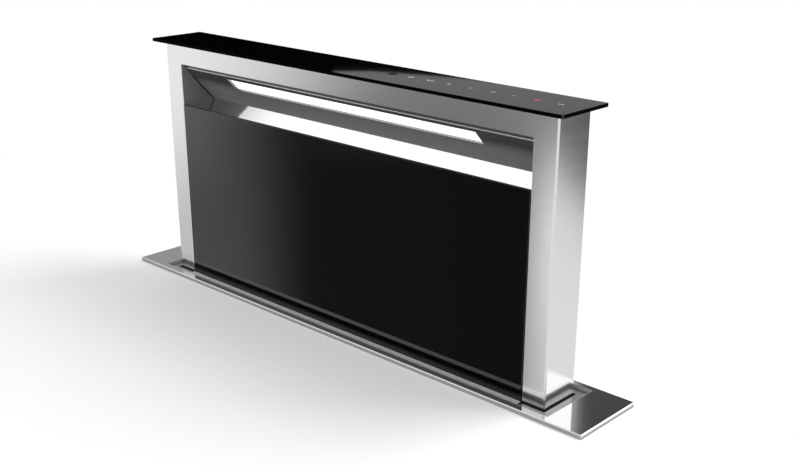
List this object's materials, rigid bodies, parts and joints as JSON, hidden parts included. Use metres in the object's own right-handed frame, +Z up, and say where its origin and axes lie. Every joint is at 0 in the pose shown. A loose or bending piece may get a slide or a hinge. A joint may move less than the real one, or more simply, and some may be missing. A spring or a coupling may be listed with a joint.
{
  "type": "downdraft vent",
  "caption": "Worktop downdraft vent: a steel and black-glass tower with a lamp that rises on twin screws from a case with its own blower and duct collar.",
  "frame": {"origin": "middle of the flange's underside, where it rests on the worktop", "axes": "+X to the right as seen from the cook's side, +Y to the back, away from the cook, +Z up out of the worktop"},
  "size_m": [0.88, 0.344, 1.0155],
  "materials": {
    "flange_steel": "stainless steel, fine brushed along its length, bevelled rim",
    "tower_steel": "stainless steel, fine brushed along the fold",
    "canopy_steel": "sheet steel, grey satin enamel, its rolled front edge bare",
    "polished_steel": "bright polished stainless steel",
    "galvanised_steel": "galvanised sheet with a faint spangle",
    "tray_steel": "plain zinc-coated sheet",
    "bracket_steel": "zinc-plated steel, dull",
    "rail_steel": "cold-drawn steel channel",
    "screw_steel": "rolled steel thread, oiled",
    "zinc_screws": "bright zinc-plated screws",
    "pulley_aluminium": "turned aluminium",
    "lamp_aluminium": "extruded aluminium, satin",
    "filter_aluminium": "folded aluminium",
    "mesh_aluminium": "layered expanded aluminium",
    "nut_brass": "machined bronze",
    "motor_paint": "black baked paint",
    "black_glass": "toughened glass, back-printed black, polished",
    "lamp_acrylic": "opal acrylic, satin",
    "lamp_board_white": "white-coated circuit board",
    "board_green": "green-coated circuit board",
    "wiper_rubber": "black rubber, matt",
    "belt_rubber": "black belt rubber, matt",
    "glide_plastic": "off-white acetal",
    "bearing_plastic": "glass-filled nylon, dark grey",
    "sensor_plastic": "black moulded plastic",
    "catch_plastic": "black moulded plastic",
    "scroll_plastic": "dark grey polypropylene",
    "impeller_plastic": "grey glass-filled polypropylene",
    "collar_plastic": "black polypropylene",
    "flap_plastic": "pale grey polypropylene",
    "box_plastic": "light grey moulded plastic, fine texture",
    "gland_plastic": "black nylon"
  },
  "bodies": {
    "chassis": {"worktop_flange": "flange_steel", "slot_wiper": "wiper_rubber", "tower_glides": "glide_plastic", "case_front": "galvanised_steel", "case_rear": "galvanised_steel", "case_side_left": "galvanised_steel", "case_side_right": "galvanised_steel", "case_base": "galvanised_steel", "case_screws": "zinc_screws", "worktop_clamps": "bracket_steel", "floor_brackets": "bracket_steel", "guide_rail_left": "rail_steel", "guide_rail_right": "rail_steel", "sync_belt": "belt_rubber", "screw_bearing": "bearing_plastic", "lift_gearmotor": "motor_paint", "travel_sensors": "sensor_plastic", "blower_box": "galvanised_steel", "inlet_ring": "galvanised_steel", "fan_scroll": "scroll_plastic", "fan_motor": "motor_paint", "outlet_collar": "collar_plastic", "control_box": "box_plastic", "control_cover": "box_plastic", "control_board": "board_green", "cable_gland": "gland_plastic"},
    "tower": {"tower_shell": "tower_steel", "rear_cover": "tower_steel", "top_glass": "black_glass", "top_tray": "tray_steel", "touch_board": "board_green", "canopy_plate": "canopy_steel", "lamp_housing": "lamp_aluminium", "lamp_lens": "lamp_acrylic", "lamp_board": "lamp_board_white", "throat_baffle": "polished_steel", "front_glass": "black_glass", "panel_tray": "tray_steel", "panel_catches": "catch_plastic", "filter_frame_left": "filter_aluminium", "filter_frame_right": "filter_aluminium", "filter_mesh_left": "mesh_aluminium", "filter_mesh_right": "mesh_aluminium", "centre_post": "tray_steel", "drip_tray": "tray_steel", "base_frame": "tray_steel", "carriage_left": "bracket_steel", "carriage_right": "bracket_steel", "screw_nuts": "nut_brass"},
    "screw_left": {"lead_screw_left": "screw_steel", "pulley_left": "pulley_aluminium"},
    "screw_right": {"lead_screw_right": "screw_steel", "pulley_right": "pulley_aluminium"},
    "roller_left_lower": {"roller_left_lower": "glide_plastic"},
    "roller_left_upper": {"roller_left_upper": "glide_plastic"},
    "roller_right_lower": {"roller_right_lower": "glide_plastic"},
    "roller_right_upper": {"roller_right_upper": "glide_plastic"},
    "impeller": {"impeller": "impeller_plastic"},
    "flap_front": {"flap_front": "flap_plastic"},
    "flap_rear": {"flap_rear": "flap_plastic"}
  },
  "joints": [
    {"name": "tower_lift", "type": "slide", "parent": "chassis", "child": "tower", "axis": [0, 0, 1], "range_m": [-0.3665, 0]},
    {"name": "screw_left_spin", "type": "hinge", "parent": "chassis", "child": "screw_left", "pos_m": [-0.35, 0, -0.3], "axis": [0, 0, 1], "range_deg": [0, 13200]},
    {"name": "screw_right_spin", "type": "hinge", "parent": "chassis", "child": "screw_right", "pos_m": [0.35, 0, -0.3], "axis": [0, 0, 1], "range_deg": [0, 13200]},
    {"name": "roller_left_lower_spin", "type": "hinge", "parent": "tower", "child": "roller_left_lower", "pos_m": [-0.379, 0, -0.095], "axis": [1, 0, 0], "range_deg": [0, 2101]},
    {"name": "roller_left_upper_spin", "type": "hinge", "parent": "tower", "child": "roller_left_upper", "pos_m": [-0.379, 0, -0.027], "axis": [1, 0, 0], "range_deg": [0, 2101]},
    {"name": "roller_right_lower_spin", "type": "hinge", "parent": "tower", "child": "roller_right_lower", "pos_m": [0.379, 0, -0.095], "axis": [1, 0, 0], "range_deg": [0, 2101]},
    {"name": "roller_right_upper_spin", "type": "hinge", "parent": "tower", "child": "roller_right_upper", "pos_m": [0.379, 0, -0.027], "axis": [1, 0, 0], "range_deg": [0, 2101]},
    {"name": "impeller_spin", "type": "hinge", "parent": "chassis", "child": "impeller", "pos_m": [-0.15, 0.135, -0.43], "axis": [0, 1, 0], "continuous": true},
    {"name": "flap_front_swing", "type": "hinge", "parent": "chassis", "child": "flap_front", "pos_m": [0.08, 0.1315, -0.335], "axis": [0, 0, 1], "range_deg": [0, 70], "stiffness_Nm_per_rad": 0.01},
    {"name": "flap_rear_swing", "type": "hinge", "parent": "chassis", "child": "flap_rear", "pos_m": [0.08, 0.1385, -0.335], "axis": [0, 0, 1], "range_deg": [-70, 0], "stiffness_Nm_per_rad": 0.01}
  ],
  "couplings": [
    {"joint": "screw_left_spin", "follows": "tower_lift", "rad_per_m": -628.32},
    {"joint": "screw_right_spin", "follows": "tower_lift", "rad_per_m": -628.32},
    {"joint": "roller_left_lower_spin", "follows": "tower_lift", "rad_per_m": -100},
    {"joint": "roller_left_upper_spin", "follows": "tower_lift", "rad_per_m": -100},
    {"joint": "roller_right_lower_spin", "follows": "tower_lift", "rad_per_m": -100},
    {"joint": "roller_right_upper_spin", "follows": "tower_lift", "rad_per_m": -100}
  ]
}
